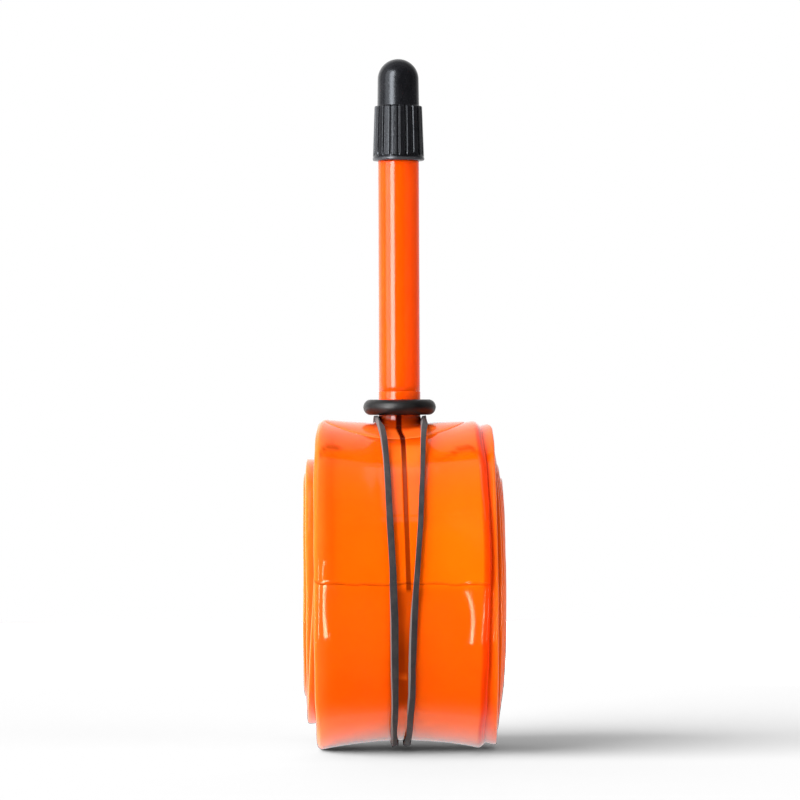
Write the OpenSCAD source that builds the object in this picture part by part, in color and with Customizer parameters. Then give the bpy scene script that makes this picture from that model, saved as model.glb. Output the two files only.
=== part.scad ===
// Bicycle inner tube of thin film, emptied, laid double and rolled up, held by a rubber band.
// The valve stands on top of the roll, with its core, lock nut, dust cap and O-ring.
// +Z is the valve's axis, X is the roll's axis and -Y is the front.
// The origin is on the valve's axis, in the plane that the roll rests on.

/* [Roll] */
// Radius of the outermost half turn, at its edges
roll_r = 24.4; // [24:0.1:25]
// Width of the flattened hose
hose_w = 25.7; // [25:0.1:27]
// Thickness of the flattened hose, which is two walls of film
run_t = 0.6; // [0.4:0.05:0.7]
// Thickness of the outer turn, which holds a little air
outer_t = 0.8; // [0.6:0.05:0.85]
// Space between one run of the hose and the next
run_gap = 0.325; // [0.3:0.025:0.4]
// Number of turns of the double hose
turns = 11; // [9:1:11]
// How much lower the outer turn is at its middle than at its edges
saddle = 1.4; // [1.2:0.1:1.5]
// Depth of the flat that the roll rests on
rest_flat = 0.33; // [0.2:0.01:0.4]
// Angle from the valve back to the fold at the outer end of the roll
fold_back = 35; // [30:1:40]
// How far the roll's middle is to the right of the valve's axis
roll_shift = 0.2; // [0:0.1:0.3]
// How far the roll's middle is behind the valve's axis
roll_back = 0.6; // [0.4:0.1:0.8]
// How far the second turn has slipped to the right
second_slip = 1.45; // [1:0.05:1.6]
// How far the inner turns of the left run have slipped to the left
left_slip = 1.9; // [1:0.1:2]
// How far the inner turns of the right run have slipped to the right
right_slip = 2.4; // [2:0.1:2.5]

/* [Lapped joint] */
// Angle from the valve forward to the edge of the lap
lap_edge = 88; // [80:1:100]
// Angle that the lap covers
lap_deg = 24; // [15:1:30]
// Thickness of the lapped film
lap_t = 0.18; // [0.1:0.02:0.3]

/* [Valve base] */
// Radius of the moulded foot
base_r = 11; // [9:0.5:12]
// Thickness of the foot
base_t = 0.5; // [0.3:0.1:0.6]
// Radius of the collar
collar_r = 3.2; // [3.2:0.05:3.3]
// Height of the collar's top above the resting plane
collar_top = 52.2; // [51.5:0.1:54]

/* [Valve stem] */
// Radius of the smooth stem
stem_r = 3; // [2.9:0.05:3]
// Height of the stem's shoulder, just under the cap
shoulder_z = 85.4; // [70:0.1:90]
// Radius of the threaded tip
tip_r = 2.6; // [2.6:0.01:2.62]
// Length of the threaded tip
tip_len = 5.5; // [5:0.1:5.5]

/* [Dust cap] */
// Height of the cap
cap_h = 14.9; // [14.8:0.1:16]
// Radius of the domed part
dome_r = 3; // [2.9:0.1:3.1]
// Radius of the ribbed skirt at its top
skirt_top_r = 3.5; // [3.4:0.05:3.6]
// Radius of the ribbed skirt at its bottom
skirt_low_r = 3.8; // [3.7:0.05:4]
// Height of the ribbed skirt
skirt_h = 8.2; // [7:0.1:9]
// Number of ribs
ribs = 20; // [16:1:24]

/* [O-ring and rubber band] */
// Thickness of the O-ring
ring_t = 2.1; // [1.8:0.1:2.2]
// Height of the O-ring's middle above the resting plane
ring_z = 49.85; // [49.85:0.05:50.1]
// Width of the rubber band
band_w = 1.3; // [1:0.05:1.35]
// Thickness of the rubber band
band_t = 0.8; // [0.6:0.05:0.85]

/* [Hidden] */
$fn = 96;

film_color = "orangered";
moulding_color = "darkorange";
band_color = "dimgray";
rubber_color = "black";
metal_color = "silver";

// The winding: half turns whose centres alternate, so that each turn ends one pitch inside its start
half_pitch = run_t + run_gap;
pitch = 2 * half_pitch;
front_z = roll_r - half_pitch * (1 - cos(fold_back)) - rest_flat;
back_y = roll_back - half_pitch * sin(fold_back);
back_z = front_z - half_pitch * cos(fold_back);
half_w = hose_w / 2;
saddle_steps = 10;
edge_round = 0.25;
fold_deg = 2;

// How far the outer turns lie below their edges at x
function dip(x) = saddle * (1 - pow((x - roll_shift) / half_w, 2));
function run_r(k) = roll_r - k * half_pitch;

// The inner turns: a plain spiral that clears the middle of the second turn
spiral_step = 10;
spiral_end = 360 * turns;
spiral_inset = saddle + run_t - half_pitch + 0.1;
left_slip_at = 780;
right_slip_at = 1260;
function spiral_point(a, inset) =
    let (r = roll_r + half_pitch / 2 - half_pitch * a / 180 - spiral_inset - inset, b = a - fold_back)
    [-r * sin(b), r * cos(b)];

// Heights on the valve, from the base up
film_top = front_z + roll_r - saddle;
foot_gap = 0.1;
spigot_r = 2.4;
bore_r = 1.25;
tip_chamfer = 0.4;
tip_z = shoulder_z + tip_chamfer;
tip_top = tip_z + tip_len;
core_r = 2.02;
core_clear = 0.03;
seat_z = tip_top - 8.3;
seal_room_r = 1.75;
seal_room_z = seat_z - 4.5;
gasket_t = 1;
nose_r = 1.5;
nose_z = seat_z - 1;
collar_h = 2.9;
core_top = tip_top + collar_h;
pin_r = 0.8;
pin_clear = 0.05;
pin_travel = 1;
nut_travel = 0.8;
nut_r = 1.95;
nut_h = 1.6;
nut_z = core_top + 0.1;
knurls = 24;
head_r = 1;
head_h = 0.5;
head_z = nut_z + nut_h + nut_travel + pin_travel + 0.1;
seal_r = 1.4;
seal_t = 1.3;
seal_z = nose_z - 0.1 - seal_t;
cap_z = shoulder_z + 0.5;
ring_clear = 0.05;

// A solid of revolution round the roll's axis, from one angle to another.
// Angles run from the top (0) over the front (90) to the bottom (180) and up the back.
module turn(from, to) {
    rotate([0, 90, 0]) rotate([0, 0, 180 + from]) rotate_extrude(angle = to - from) children();
}

// Moves a half turn to its own winding centre: even ones run over the front, odd ones up the back
module at_centre(k) {
    translate([0, k % 2 == 0 ? roll_back : back_y, k % 2 == 0 ? front_z : back_z]) children();
}

// Section of the flattened hose: outer radius r at its edges, middle at x, thickness t
module hose_section(r, x, t) {
    xs = [for (i = [0:saddle_steps]) x - half_w + hose_w * i / saddle_steps];
    last = saddle_steps;
    outer = [for (i = [1:last - 1]) [r - dip(xs[i]), xs[i]]];
    inner = [for (i = [last:-1:0]) [r - t - dip(xs[i]), xs[i]]];
    low_edge = [[r - edge_round - dip(xs[0]), xs[0]], [r - dip(xs[0]), xs[0] + edge_round]];
    high_edge = [[r - dip(xs[last]), xs[last] - edge_round], [r - edge_round - dip(xs[last]), xs[last]]];
    polygon(concat(low_edge, outer, high_edge, inner));
}

module hose_half_turn(r, x, t, k) {
    start = -fold_back + 180 * (k % 2);
    at_centre(k) turn(start, start + 180) hose_section(r, x, t);
}

// Everything inside the outer turn's surface near the valve, to trim the valve's base to it
module film_drum() {
    at_centre(0) turn(-fold_back, fold_back) polygon(concat(
        [[roll_r / 2, -half_w], for (i = [0:saddle_steps])
            let (x = roll_shift - half_w + hose_w * i / saddle_steps) [roll_r - dip(x), x]],
        [[roll_r / 2, half_w]]));
}

module hose_outer_turn() {
    color(film_color) difference() {
        for (k = [0:1]) hose_half_turn(run_r(k), roll_shift, outer_t, k);
        translate([-half_w * 2, -roll_r, -roll_r]) cube([half_w * 4, roll_r * 2, roll_r]);
        translate([0, 0, film_top - outer_t / 2]) cylinder(r = bore_r, h = roll_r);
    }
}

module hose_second_turn() {
    color(film_color) for (k = [0:1])
        hose_half_turn(run_r(k) - half_pitch, roll_shift + second_slip, run_t, k);
}

// A stretch of the inner spiral, from one angle to another, counted from the outer end of the hose
module spiral(from, to, inset, thick, x, w) {
    angles = [for (a = [from:spiral_step:to]) a];
    outer = [for (a = angles) spiral_point(a, inset)];
    inner = [for (i = [len(angles) - 1:-1:0]) spiral_point(angles[i], inset + thick)];
    translate([x - w / 2, (roll_back + back_y) / 2, (front_z + back_z) / 2]) rotate([90, 0, 90])
        linear_extrude(w) polygon(concat(outer, inner));
}

module hose_left_run() {
    color(film_color) {
        spiral(360, left_slip_at, 0, run_t, roll_shift, hose_w);
        spiral(left_slip_at, spiral_end, 0, run_t, roll_shift - left_slip, hose_w);
    }
}

module hose_right_run() {
    color(film_color) {
        spiral(360, right_slip_at, half_pitch, run_t, roll_shift + second_slip, hose_w);
        spiral(right_slip_at, spiral_end, half_pitch, run_t, roll_shift + right_slip, hose_w);
    }
}

// The inner end of the double hose, where one run turns back into the other
module hose_core_fold() {
    color(film_color) spiral(spiral_end, spiral_end + spiral_step, 0, half_pitch + run_t,
        roll_shift + (right_slip - left_slip) / 2, hose_w - right_slip - left_slip);
}

// The outer end of the double hose, behind the valve
module hose_outer_fold() {
    color(film_color) at_centre(0) turn(-fold_back - fold_deg, -fold_back)
        hose_section(roll_r, roll_shift, half_pitch + run_t);
}

module hose_lap_joint() {
    color(film_color) at_centre(0) turn(lap_edge - lap_deg, lap_edge)
        hose_section(roll_r + lap_t, roll_shift, lap_t);
}

module valve_base() {
    color(moulding_color) difference() {
        union() {
            intersection() {
                at_centre(0) turn(-fold_back, fold_back)
                    hose_section(roll_r + base_t, roll_shift, base_t + run_t);
                cylinder(r = base_r, h = collar_top);
            }
            translate([0, 0, film_top - run_t]) cylinder(r = collar_r, h = collar_top - film_top + run_t);
        }
        film_drum();
        cylinder(r = spigot_r, h = collar_top + 1);
    }
}

module valve_stem() {
    color(moulding_color) rotate_extrude() polygon([
        [bore_r, film_top + foot_gap], [spigot_r, film_top + foot_gap], [spigot_r, collar_top],
        [stem_r, collar_top], [stem_r, shoulder_z], [tip_r, tip_z],
        [tip_r, tip_top - tip_chamfer], [tip_r - tip_chamfer / 2, tip_top],
        [core_r + core_clear, tip_top], [core_r + core_clear, seat_z],
        [seal_room_r, seat_z], [seal_room_r, seal_room_z], [bore_r, seal_room_z]]);
}

module core_body() {
    color(metal_color) difference() {
        union() {
            translate([0, 0, nose_z]) cylinder(r = nose_r, h = gasket_t + 1);
            translate([0, 0, seat_z + gasket_t]) cylinder(r = core_r, h = tip_top - seat_z - gasket_t);
            translate([0, 0, tip_top]) intersection() {
                cylinder(r = 2.3, h = collar_h);
                translate([-2.3, -1.8, 0]) cube([4.6, 3.6, collar_h]);
            }
        }
        cylinder(r = pin_r + pin_clear, h = core_top + 1);
    }
}

module core_gasket() {
    color(rubber_color) translate([0, 0, seat_z]) difference() {
        cylinder(r = core_r, h = gasket_t);
        translate([0, 0, -1]) cylinder(r = nose_r + core_clear, h = gasket_t + 2);
    }
}

module core_pin() {
    color(metal_color) {
        translate([0, 0, seal_z - 0.35]) cylinder(r = head_r, h = 0.35);
        translate([0, 0, seal_z]) cylinder(r = pin_r, h = head_z - seal_z);
        translate([0, 0, head_z]) cylinder(r = head_r, h = head_h);
    }
}

module pin_seal() {
    color(rubber_color) translate([0, 0, seal_z]) difference() {
        cylinder(r = seal_r, h = seal_t);
        translate([0, 0, -1]) cylinder(r = pin_r, h = seal_t + 2);
    }
}

module lock_nut() {
    color(metal_color) translate([0, 0, nut_z]) difference() {
        cylinder(r = nut_r, h = nut_h);
        translate([0, 0, -1]) cylinder(r = pin_r + pin_clear, h = nut_h + 2);
        for (i = [1:knurls]) rotate([0, 0, i * 360 / knurls]) translate([nut_r + 0.08, 0, 0.2])
            rotate([0, 0, 45]) translate([-0.15, -0.15, 0]) cube([0.3, 0.3, nut_h]);
    }
}

module cap_ribs() {
    groove = 0.22;
    intersection() {
        cylinder(r1 = skirt_low_r, r2 = skirt_top_r, h = skirt_h);
        linear_extrude(skirt_h) difference() {
            circle(r = skirt_low_r + 0.2);
            for (i = [1:ribs]) rotate((i + 0.5) * 360 / ribs)
                translate([skirt_top_r - groove, -groove]) square([1, 2 * groove]);
        }
    }
}

module dust_cap() {
    rim_h = 0.55;
    color(rubber_color) translate([0, 0, cap_z]) difference() {
        union() {
            cap_ribs();
            cylinder(r1 = skirt_low_r - 0.1, r2 = skirt_low_r, h = rim_h);
            cylinder(r1 = dome_r + 0.06, r2 = dome_r, h = cap_h - dome_r);
            translate([0, 0, cap_h - dome_r]) sphere(r = dome_r);
        }
        rotate_extrude() polygon([
            [0, -1], [tip_r + pin_clear, -1], [tip_r + pin_clear, 5.7], [2.45, 5.9], [2.45, 9.8],
            [2.1, 10.2], [2.1, 12], [1.3, cap_h - 1.5], [0, cap_h - 1.4]]);
    }
}

module o_ring() {
    color(rubber_color) translate([0, 0, ring_z]) rotate_extrude()
        translate([collar_r + ring_clear + ring_t / 2, 0]) circle(d = ring_t);
}

// Rubber band: where each strand lies across the roll, as [angle, x], down the front and under the bottom
left_strand = [[0, -3.85], [12, -3.1], [30, -2.3], [50, -2.05], [70, -1.6], [90, -1.1],
               [110, -0.75], [130, -0.7], [180, -0.8]];
right_strand = [[0, 3.85], [12, 3.5], [30, 3.3], [50, 3.15], [70, 2.8], [90, 2.35],
                [105, 1.8], [120, 1.35], [135, 1.1], [180, 1.1]];
band_step = 4;
band_gap = 0.08;
lap_ramp = 4;
cross_from = 188;
cross_to = 270;
cross_ramp = 16;

function smooth(u) = let (v = min(1, max(0, u))) v * v * (3 - 2 * v);
function band_x(turn_no, a) =
    a <= 180 ? lookup(a, turn_no == 0 ? left_strand : right_strand)
    : turn_no == 0 ? -0.8 + (3.85 + 0.8) * smooth((a - 180) / 180)
    : 1.1 - (3.85 + 1.1) * smooth((a - 180) / 180);
// Lift over the valve's foot, and of the first strand over the second where they cross at the back
function foot_lift(a) = a > 360 - fold_back ? base_t : base_t * (1 - smooth((a - 26) / 12));
function lap_lift(a) = lap_t * smooth((a - lap_edge + lap_deg) / lap_ramp + 2)
    * smooth((lap_edge - a) / lap_ramp + 2);
function cross_lift(turn_no, a) = turn_no == 1 ? 0
    : (band_t + band_gap) * smooth((a - cross_from) / cross_ramp) * smooth((cross_to - a) / cross_ramp);
function surface_r(a, x) = (a < 180 - fold_back || a > 360 - fold_back ? roll_r : run_r(1))
    - dip(x) + band_gap + band_t / 2;
// Near the outer fold the band leaves the lower turn in a straight line and meets the fold's edge
function band_r(turn_no, a) =
    let (x = band_x(turn_no, a), low = surface_r(300, x), high = surface_r(0, x) + base_t + half_pitch,
         chord = acos(low / high), end = 360 - fold_back)
    a > end - chord && a <= end ? low / cos(a - end + chord)
    : surface_r(a, x) + foot_lift(a) + lap_lift(a) + cross_lift(turn_no, a);
function band_ring(turn_no, a) =
    let (back = a > 180 - fold_back && a <= 360 - fold_back,
         y0 = back ? back_y : roll_back, z0 = back ? back_z : front_z,
         r = band_r(turn_no, a), x = band_x(turn_no, a))
    [for (c = [[-1, -1], [1, -1], [1, 1], [-1, 1]])
        [x + c[0] * band_w / 2, y0 - (r + c[1] * band_t / 2) * sin(a), z0 + (r + c[1] * band_t / 2) * cos(a)]];

module rubber_band() {
    rings = [for (turn_no = [0:1]) for (a = [0:band_step:359]) each band_ring(turn_no, a)];
    n = len(rings) / 4;
    faces = [for (i = [0:n - 1]) for (j = [0:3])
        [4 * i + j, 4 * i + (j + 1) % 4, 4 * ((i + 1) % n) + (j + 1) % 4, 4 * ((i + 1) % n) + j]];
    color(band_color) polyhedron(rings, faces);
}

hose_outer_turn();
hose_second_turn();
hose_left_run();
hose_right_run();
hose_core_fold();
hose_outer_fold();
hose_lap_joint();
valve_base();
valve_stem();
core_body();
core_gasket();
core_pin();
pin_seal();
lock_nut();
dust_cap();
o_ring();
rubber_band();
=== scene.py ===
"""A rolled-up bicycle inner tube of thin orange film, held by a rubber band.

Sizes are in millimetres here and become metres in add_mesh. The roll's main sizes repeat those of part.scad.
Angles on the roll run from the top (0) over the front (90) to the bottom (180) and up the back.
"""
import math

import bmesh
import bpy
from mathutils import Matrix, Quaternion, Vector


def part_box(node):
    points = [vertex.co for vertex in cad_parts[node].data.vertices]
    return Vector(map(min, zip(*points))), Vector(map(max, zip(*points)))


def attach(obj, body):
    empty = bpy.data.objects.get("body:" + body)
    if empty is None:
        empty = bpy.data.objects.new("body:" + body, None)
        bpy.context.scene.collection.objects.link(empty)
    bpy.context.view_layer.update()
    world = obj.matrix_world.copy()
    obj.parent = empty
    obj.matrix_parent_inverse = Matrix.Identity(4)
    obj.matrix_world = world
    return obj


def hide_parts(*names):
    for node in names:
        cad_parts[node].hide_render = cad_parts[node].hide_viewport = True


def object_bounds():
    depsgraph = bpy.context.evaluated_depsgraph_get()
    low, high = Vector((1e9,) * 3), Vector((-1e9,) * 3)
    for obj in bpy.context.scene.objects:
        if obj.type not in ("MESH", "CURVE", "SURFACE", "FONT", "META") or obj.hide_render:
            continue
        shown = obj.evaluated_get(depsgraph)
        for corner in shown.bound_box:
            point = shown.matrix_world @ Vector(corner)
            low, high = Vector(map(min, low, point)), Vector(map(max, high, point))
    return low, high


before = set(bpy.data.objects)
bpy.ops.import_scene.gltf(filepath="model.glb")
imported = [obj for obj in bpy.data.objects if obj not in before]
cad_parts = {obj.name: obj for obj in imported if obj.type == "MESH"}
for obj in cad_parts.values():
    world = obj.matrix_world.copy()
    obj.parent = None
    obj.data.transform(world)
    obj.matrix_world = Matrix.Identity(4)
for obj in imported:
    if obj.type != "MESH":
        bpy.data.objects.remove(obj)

CAD_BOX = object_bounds()
MM = 0.001

# The roll: the radius of its edges, and the hose's half width and thickness
ROLL_R = 24.4
HALF_W = 12.85
RUN_T = 0.6
OUTER_T = 0.8
# Distance between neighbouring layers, and the air left where two of them swell towards each other
HALF_PITCH = 0.925
RUN_GAP = 0.03
# How far the middle of the outer turns is drawn in, and how much the roll is flattened where it rests
SADDLE = 1.4
REST_FLAT = 0.33
# Degrees from the valve back to the outer fold, and how far the turns have moved from the middle
FOLD_BACK = 35
ROLL_SHIFT = 0.2
ROLL_BACK = 0.6
SECOND_SLIP = 1.45
LEFT_SLIP = 1.9
TURNS = 11
# Winding centres of the outer turns' front and back halves, and of the inner turns
FRONT_Y = ROLL_BACK
FRONT_Z = ROLL_R - HALF_PITCH * (1 - math.cos(math.radians(FOLD_BACK))) - REST_FLAT
BACK_Y = ROLL_BACK - HALF_PITCH * math.sin(math.radians(FOLD_BACK))
BACK_Z = FRONT_Z - HALF_PITCH * math.cos(math.radians(FOLD_BACK))
MEAN_Y = (FRONT_Y + BACK_Y) / 2
MEAN_Z = (FRONT_Z + BACK_Z) / 2
SPIRAL_INSET = SADDLE + RUN_T - HALF_PITCH + 0.1
# The lapped joint, in degrees, and its thickness
LAP_FROM = 60
LAP_TO = 88
LAP_T = 0.12
# Small shapes in the film: the crease, the pinch between the strands, the step below it and the band's dents
CREASE_DEPTH = 0.045
PINCH_DEPTH = 0.34
STEP_DEPTH = 0.05
STEP_AT = 141.5
DENT_DEPTH = 0.07
LIP_HEIGHT = 0.07
# Angle in degrees of the painted highlight line across the film between the strands
PAINTED_GLINT_AT = 123.4
# Where the right edge turns under: from, soft start, to, soft end, in degrees
TURNED_SPAN = (8, 14, 172, 12)

# The valve
COLLAR_R = 3.05
STEM_R = 3.0
THREAD_PITCH = 0.8
FOOT_T = 0.5
FOOT_X = -0.85
FOOT_HALF_X = 10.3
FOOT_HALF_Y = 8.05

# The rubber band: its section, the air under it, and its thickness where stretched, as a share
BAND_W = 1.12
BAND_T = 0.8
BAND_GAP = 0.08
BAND_THINNED = 0.75

# x of the crease down the middle of the film, by angle
CREASE_X = [(0, -0.12), (13, -0.12), (17, 0.05), (21, 0.42), (26, 0.52), (31, 0.56), (59, 0.85), (79, 1.1),
            (90, 1.2), (150, 1.2)]
# Angle of the painted dark arcs beside the foot, by x
DARK_ARC_LEFT = [(-11.7, 39.0), (-11.3, 36.0), (-10.7, 32.2), (-10.2, 31.5), (-8.8, 31.7)]
DARK_ARC_RIGHT = [(4.2, 36.6), (6.6, 36.8), (7.6, 34.5), (8.4, 31.9), (10.0, 31.5), (10.8, 33.5), (11.4, 38.6)]
# x of the outer turn's edges, by angle
OUTER_LEFT = [(-35, -12.2), (0, -11.8), (12, -12.0), (30, -12.25), (60, -12.3), (150, -12.2), (180, -12.15),
              (325, -12.4)]
OUTER_RIGHT = [(-35, 12.3), (0, 11.7), (19, 11.95), (50, 12.7), (80, 12.95), (109, 12.7), (129, 12.4),
               (154, 12.2), (180, 12.3), (230, 12.8), (325, 12.6)]
# x of the second turn's right edge, by angle
SECOND_RIGHT = [(-35, 13.6), (0, 12.9), (15, 13.5), (30, 13.7), (80, 13.85), (120, 13.95), (165, 13.9),
                (220, 14.3), (325, 14.4)]
# x of the right run's right edge, by radius, on each side of the roll
RUN_EDGE_TOP = [(8.0, 15.4), (11.4, 15.35), (13.3, 15.2), (15.2, 15.0), (17.0, 14.4), (18.5, 13.95),
                (20.0, 13.7), (22.0, 13.2)]
RUN_EDGE_FRONT = [(8.0, 15.3), (15.0, 15.15), (18.0, 14.9), (20.0, 14.6), (22.0, 14.3)]
RUN_EDGE_BOTTOM = [(6.0, 15.38), (15.4, 14.9), (16.8, 14.45), (20.0, 14.2), (23.0, 13.95)]
RUN_EDGE_BACK = [(8.0, 15.38), (15.0, 15.3), (18.0, 15.1), (22.0, 14.8)]
# How far the left run has slid back in, by angle
LEFT_RUN_BACK = [(0, 0.42), (90, 0.62), (180, 0.5), (270, 0.0), (360, 0.42)]
# x of the two strands of the rubber band, by angle
LEFT_STRAND = [(0, -3.45), (5, -3.25), (10, -3.0), (16, -2.7), (27, -2.27), (36, -2.0), (45, -1.79),
               (66, -1.42), (82, -1.05), (100, -0.86), (136, -0.84), (152, -1.03), (165, -1.03), (180, -0.85)]
RIGHT_STRAND = [(0, 3.65), (8, 3.6), (16, 3.55), (27, 3.4), (45, 3.25), (66, 2.93), (82, 2.47), (97, 2.0),
                (104, 1.84), (118, 1.62), (130, 1.6), (140, 1.38), (153, 1.25), (165, 1.0), (180, 0.78)]
# Twist of each strand about its own length, in degrees, by angle
LEFT_TWIST = [(0, -84), (6, -74), (12, -45), (18, -26), (30, -16), (45, -8), (60, 0), (84, 0), (104, -18),
              (140, -24), (154, -48), (168, -30), (180, 0)]
RIGHT_TWIST = [(0, -80), (6, -66), (12, -40), (20, -14), (40, 0), (88, -4), (104, -30), (120, -42),
               (134, -24), (150, 10), (180, 0)]
# Width of each strand where it is stretched, as a share of BAND_W, by angle
LEFT_STRETCH = [(0, 0.95), (28, 0.76), (37, 0.68), (48, 0.75), (60, 0.84), (76, 0.85), (92, 0.97),
                (120, 0.93), (132, 0.78), (160, 0.74), (200, 0.85)]
RIGHT_STRETCH = [(0, 0.9), (28, 0.64), (45, 0.60), (58, 0.72), (76, 0.66), (88, 0.72), (97, 0.82),
                 (110, 0.86), (132, 0.84), (146, 0.74), (160, 0.8), (200, 0.85)]


# ---------------- small helpers

def smooth(u):
    v = min(1.0, max(0.0, u))
    return v * v * (3 - 2 * v)


def lookup(table, key, ease=smooth):
    """Value of a table of (key, value) pairs; ease is the way from one pair to the next."""
    if key <= table[0][0]:
        return table[0][1]
    for (k0, v0), (k1, v1) in zip(table, table[1:]):
        if key <= k1:
            return v0 + (v1 - v0) * ease((key - k0) / (k1 - k0))
    return table[-1][1]


def linear(table, key):
    return lookup(table, key, lambda u: u)


def bell(u):
    return math.exp(-u * u)


def span(value, start, rise, end, fall):
    """1 between start and end, with soft ends."""
    return smooth((value - start) / rise) * smooth((end - value) / fall)


def waves(angle, *terms):
    """Sum of sines along the hose; a term is (height, waves to the turn, phase in degrees)."""
    return sum(height * math.sin(math.radians(angle * rate + phase)) for height, rate, phase in terms)


def polar(y0, z0, angle, radius):
    a = math.radians(angle)
    return y0 - radius * math.sin(a), z0 + radius * math.cos(a)


def note(marks, **values):
    """Adds the colour marks of one more point."""
    for key, value in values.items():
        marks.setdefault(key, []).append(value)


def add_mesh(name, verts, faces, material, body, nodes, marks=None):
    """A closed mesh from points in millimetres, riding on a body and standing for CAD nodes.

    The marks are lists of one value a point; a mark that is left out counts as 0 in the materials.
    """
    mesh = bpy.data.meshes.new(name)
    mesh.from_pydata([(x * MM, y * MM, z * MM) for x, y, z in verts], [], faces)
    for key, values in (marks or {}).items():
        mesh.attributes.new(key, "FLOAT", "POINT").data.foreach_set("value", values)
    bm = bmesh.new()
    bm.from_mesh(mesh)
    bmesh.ops.recalc_face_normals(bm, faces=bm.faces)
    bm.to_mesh(mesh)
    bm.free()
    mesh.polygons.foreach_set("use_smooth", [True] * len(mesh.polygons))
    mesh.materials.append(material)
    obj = bpy.data.objects.new(name, mesh)
    bpy.context.scene.collection.objects.link(obj)
    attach(obj, body)
    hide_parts(*nodes)
    return obj


def strip_faces(rings, size, closed):
    """Faces between successive rings of points, with end caps unless the path is closed."""
    faces = []
    for i in range(rings if closed else rings - 1):
        for j in range(size):
            a, b = i * size + j, i * size + (j + 1) % size
            c, d = ((i + 1) % rings) * size + (j + 1) % size, ((i + 1) % rings) * size + j
            faces.append((a, b, c, d))
    if not closed:
        faces.append(tuple(range(size)))
        faces.append(tuple(reversed(range((rings - 1) * size, rings * size))))
    return faces


def lathe(profile, segments, reshape=None):
    """Points and faces of a solid turned about the z axis; profile is (radius, z), closed on itself."""
    verts = []
    for i in range(segments):
        phi = 2 * math.pi * i / segments
        for r, z in profile:
            rr = reshape(r, z, phi) if reshape else r
            verts.append((rr * math.cos(phi), rr * math.sin(phi), z))
    return verts, strip_faces(segments, len(profile), True)


def thread_tooth(z, phi):
    """Height of a thread's tooth, 0 to 1, at a height and an angle round the axis."""
    phase = (z / THREAD_PITCH - phi / (2 * math.pi)) % 1.0
    return smooth(2.2 * (0.5 - abs(phase - 0.5)))


def add_film(name, node, verts, rings, material, marks):
    """A stretch of hose from rings of points, closed at both ends."""
    return add_mesh(name, verts, strip_faces(rings, len(verts) // rings, False), material, "roll",
                    (node,), marks)


# ---------------- materials

def add_node(nt, kind, sockets=None):
    """A shader node of this kind, with the given sockets set."""
    node = nt.nodes.new("ShaderNode" + kind)
    for socket, value in (sockets or {}).items():
        node.inputs[socket].default_value = value
    return node


def new_material(name, sockets):
    """Material of one Principled shader, with the given sockets set."""
    mat = bpy.data.materials.new(name)
    mat.use_nodes = True
    nt = mat.node_tree
    nt.nodes.clear()
    out = add_node(nt, "OutputMaterial")
    bsdf = add_node(nt, "BsdfPrincipled", sockets)
    nt.links.new(bsdf.outputs[0], out.inputs[0])
    return mat, nt, bsdf


def object_coords(nt, stretch=(1, 1, 1)):
    """Object coordinates, multiplied by stretch along each axis."""
    mapping = add_node(nt, "Mapping", {"Scale": stretch})
    nt.links.new(add_node(nt, "TexCoord").outputs["Object"], mapping.inputs["Vector"])
    return mapping.outputs[0]


def noise(nt, scale, detail, rough=0.55, stretch=(1, 1, 1)):
    node = add_node(nt, "TexNoise", {"Scale": scale, "Detail": detail, "Roughness": rough})
    nt.links.new(object_coords(nt, stretch), node.inputs["Vector"])
    return node.outputs["Fac"]


def remap(nt, value, low, high, to_low, to_high):
    """Straight-line change from one range to another, clamped at its ends."""
    node = add_node(nt, "MapRange", {"From Min": low, "From Max": high, "To Min": to_low, "To Max": to_high})
    nt.links.new(value, node.inputs["Value"])
    return node.outputs["Result"]


def mix_color(nt, factor, first, second):
    """Mixes two colours; each may be a socket or a plain (r, g, b)."""
    node = add_node(nt, "Mix")
    node.data_type = "RGBA"
    targets = [s for s in node.inputs if s.name in ("A", "B") and s.type == "RGBA"]
    for socket, value in zip(targets, (first, second)):
        if isinstance(value, tuple):
            socket.default_value = (*value, 1.0)
        else:
            nt.links.new(value, socket)
    nt.links.new(factor, [s for s in node.inputs if s.name == "Factor" and s.type == "VALUE"][0])
    return [s for s in node.outputs if s.type == "RGBA"][0]


def mottle(nt, value, low, high, first, second, most=1.0):
    """Mixes two colours by how far a noise lies between low and high."""
    return mix_color(nt, remap(nt, value, low, high, 0.0, most), first, second)


def attribute(nt, name):
    node = add_node(nt, "Attribute")
    node.attribute_name = name
    return node.outputs["Fac"]


def lay_marks(nt, tone, colors):
    """Lays the colours of the mesh's marks over a tone, in this order."""
    for name, color in colors.items():
        tone = mix_color(nt, attribute(nt, name), tone, color)
    return tone


def multiply(nt, first, second):
    node = add_node(nt, "Math")
    node.operation = "MULTIPLY"
    nt.links.new(first, node.inputs[0])
    nt.links.new(second, node.inputs[1])
    return node.outputs[0]


def paint(nt, bsdf, tone, rough):
    nt.links.new(tone, bsdf.inputs["Base Color"])
    nt.links.new(rough, bsdf.inputs["Roughness"])


def add_bump(nt, bsdf, height, distance, strength, before=None):
    """Bump on the shader's normal, over an earlier bump if there is one."""
    node = add_node(nt, "Bump", {"Distance": distance, "Strength": strength})
    nt.links.new(height, node.inputs["Height"])
    if before is not None:
        nt.links.new(before, node.inputs["Normal"])
    nt.links.new(node.outputs[0], bsdf.inputs["Normal"])
    return node.outputs[0]


# How far light spreads in the orange plastics, in metres, and how much of each colour
ORANGE_GLOW = {"Subsurface Radius": (1.0, 0.22, 0.03), "Subsurface Scale": 0.0012}


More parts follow.
